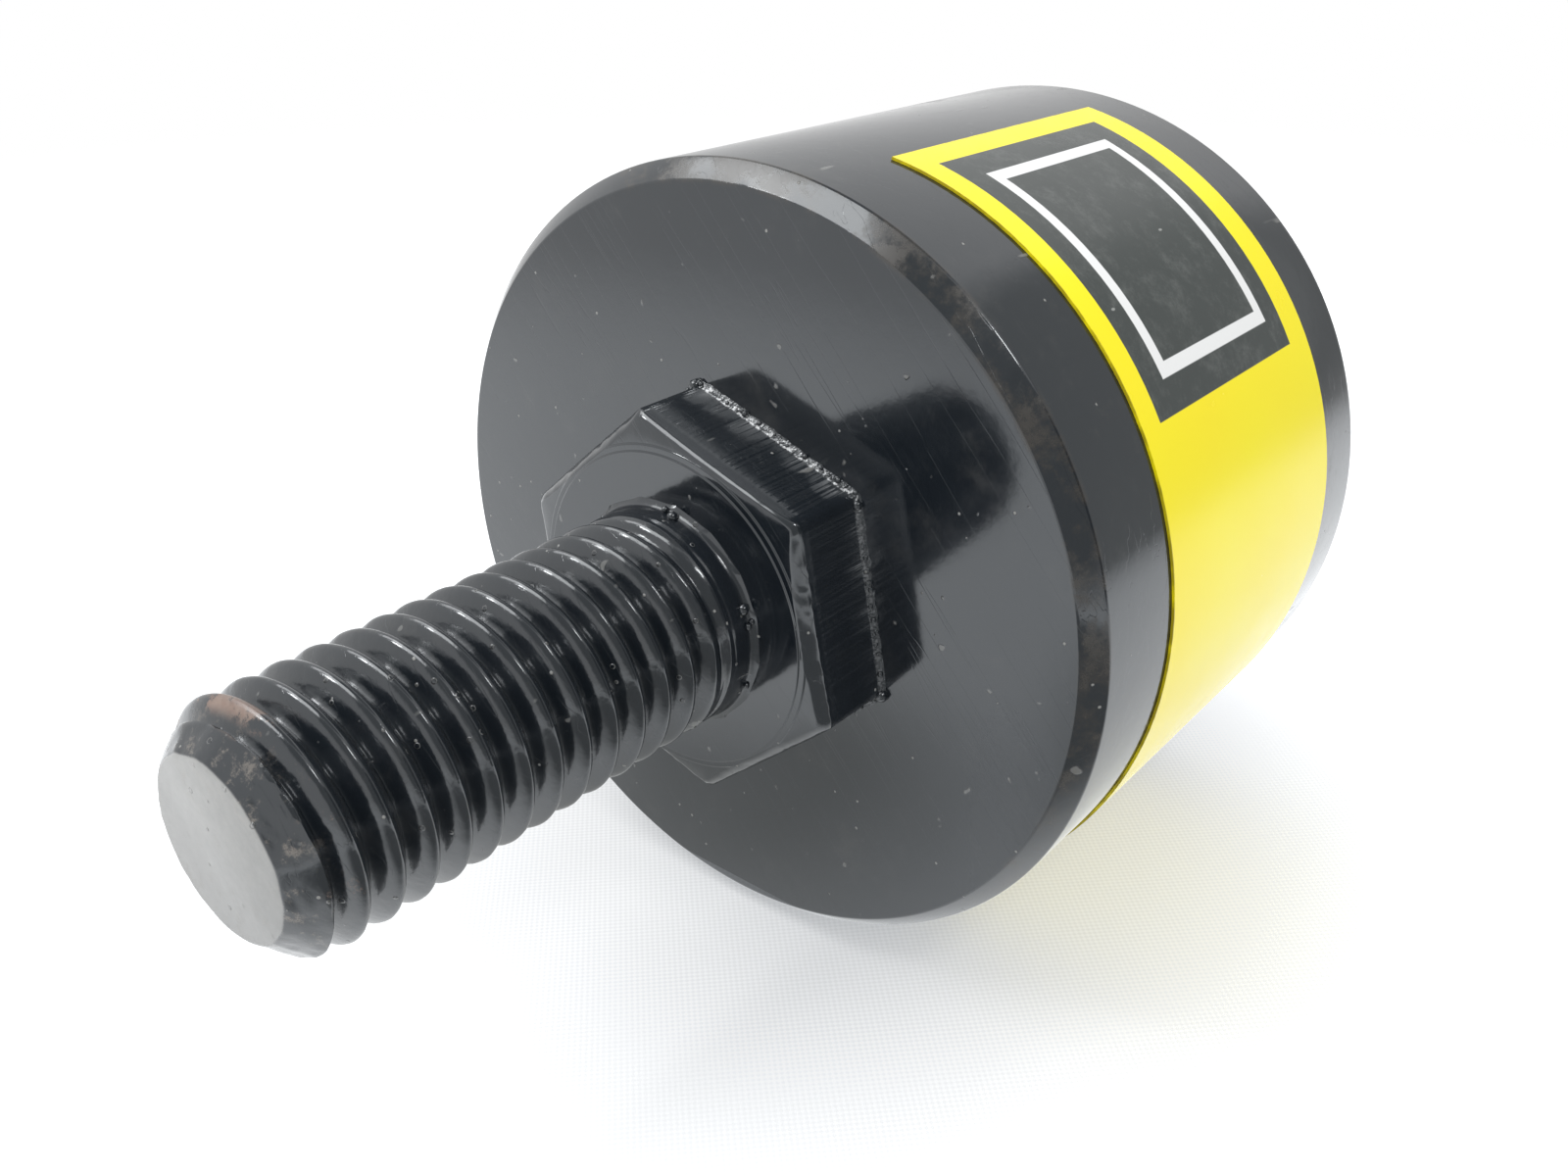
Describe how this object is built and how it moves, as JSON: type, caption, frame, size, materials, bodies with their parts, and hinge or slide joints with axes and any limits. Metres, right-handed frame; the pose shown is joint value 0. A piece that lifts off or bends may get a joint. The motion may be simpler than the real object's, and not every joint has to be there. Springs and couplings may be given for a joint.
{
  "type": "ball transfer unit",
  "caption": "Heavy-duty ball transfer unit: a load ball on small balls in a black round housing, with a hexagon, a threaded fixing stud and a yellow label.",
  "frame": {"origin": "centre of the hexagon's shoulder, the face that seats on the machine frame round the stud", "axes": "+Z along the unit's axis towards the load ball, -Z along the stud towards its tip; -Y is the side that the label's black panel starts from"},
  "size_m": [0.0452, 0.0452, 0.0718],
  "materials": {
    "black_enamel": "gloss black enamel on turned steel, with fine dust, hairline scratches and a worn chamfer",
    "black_enamel_stud": "thick gloss black enamel over a thread, rubbed bare and rusty near the tip",
    "hardened_race": "hardened and ground steel",
    "small_ball_steel": "polished bearing steel",
    "polished_ball": "polished bearing steel with faint rolling marks",
    "turned_steel": "turned zinc-plated steel",
    "felt": "oiled wool felt",
    "spring_steel": "phosphated spring steel",
    "label_print": "yellow printed vinyl with a black panel, laminated"
  },
  "bodies": {
    "unit": {"housing": "black_enamel", "fixing_stud": "black_enamel_stud", "race_cup": "hardened_race", "retaining_ring": "turned_steel", "felt_wiper": "felt", "circlip": "spring_steel", "label": "label_print"},
    "ball_bed": {"support_balls": "small_ball_steel"},
    "ball": {"load_ball": "polished_ball"}
  },
  "joints": [
    {"name": "heading", "type": "hinge", "parent": "unit", "child": "ball_bed", "pos_m": [0, 0, 0.0326], "axis": [0, 0, 1], "continuous": true},
    {"name": "roll", "type": "hinge", "parent": "ball_bed", "child": "ball", "pos_m": [0, 0, 0.0326], "axis": [1, 0, 0], "continuous": true}
  ]
}
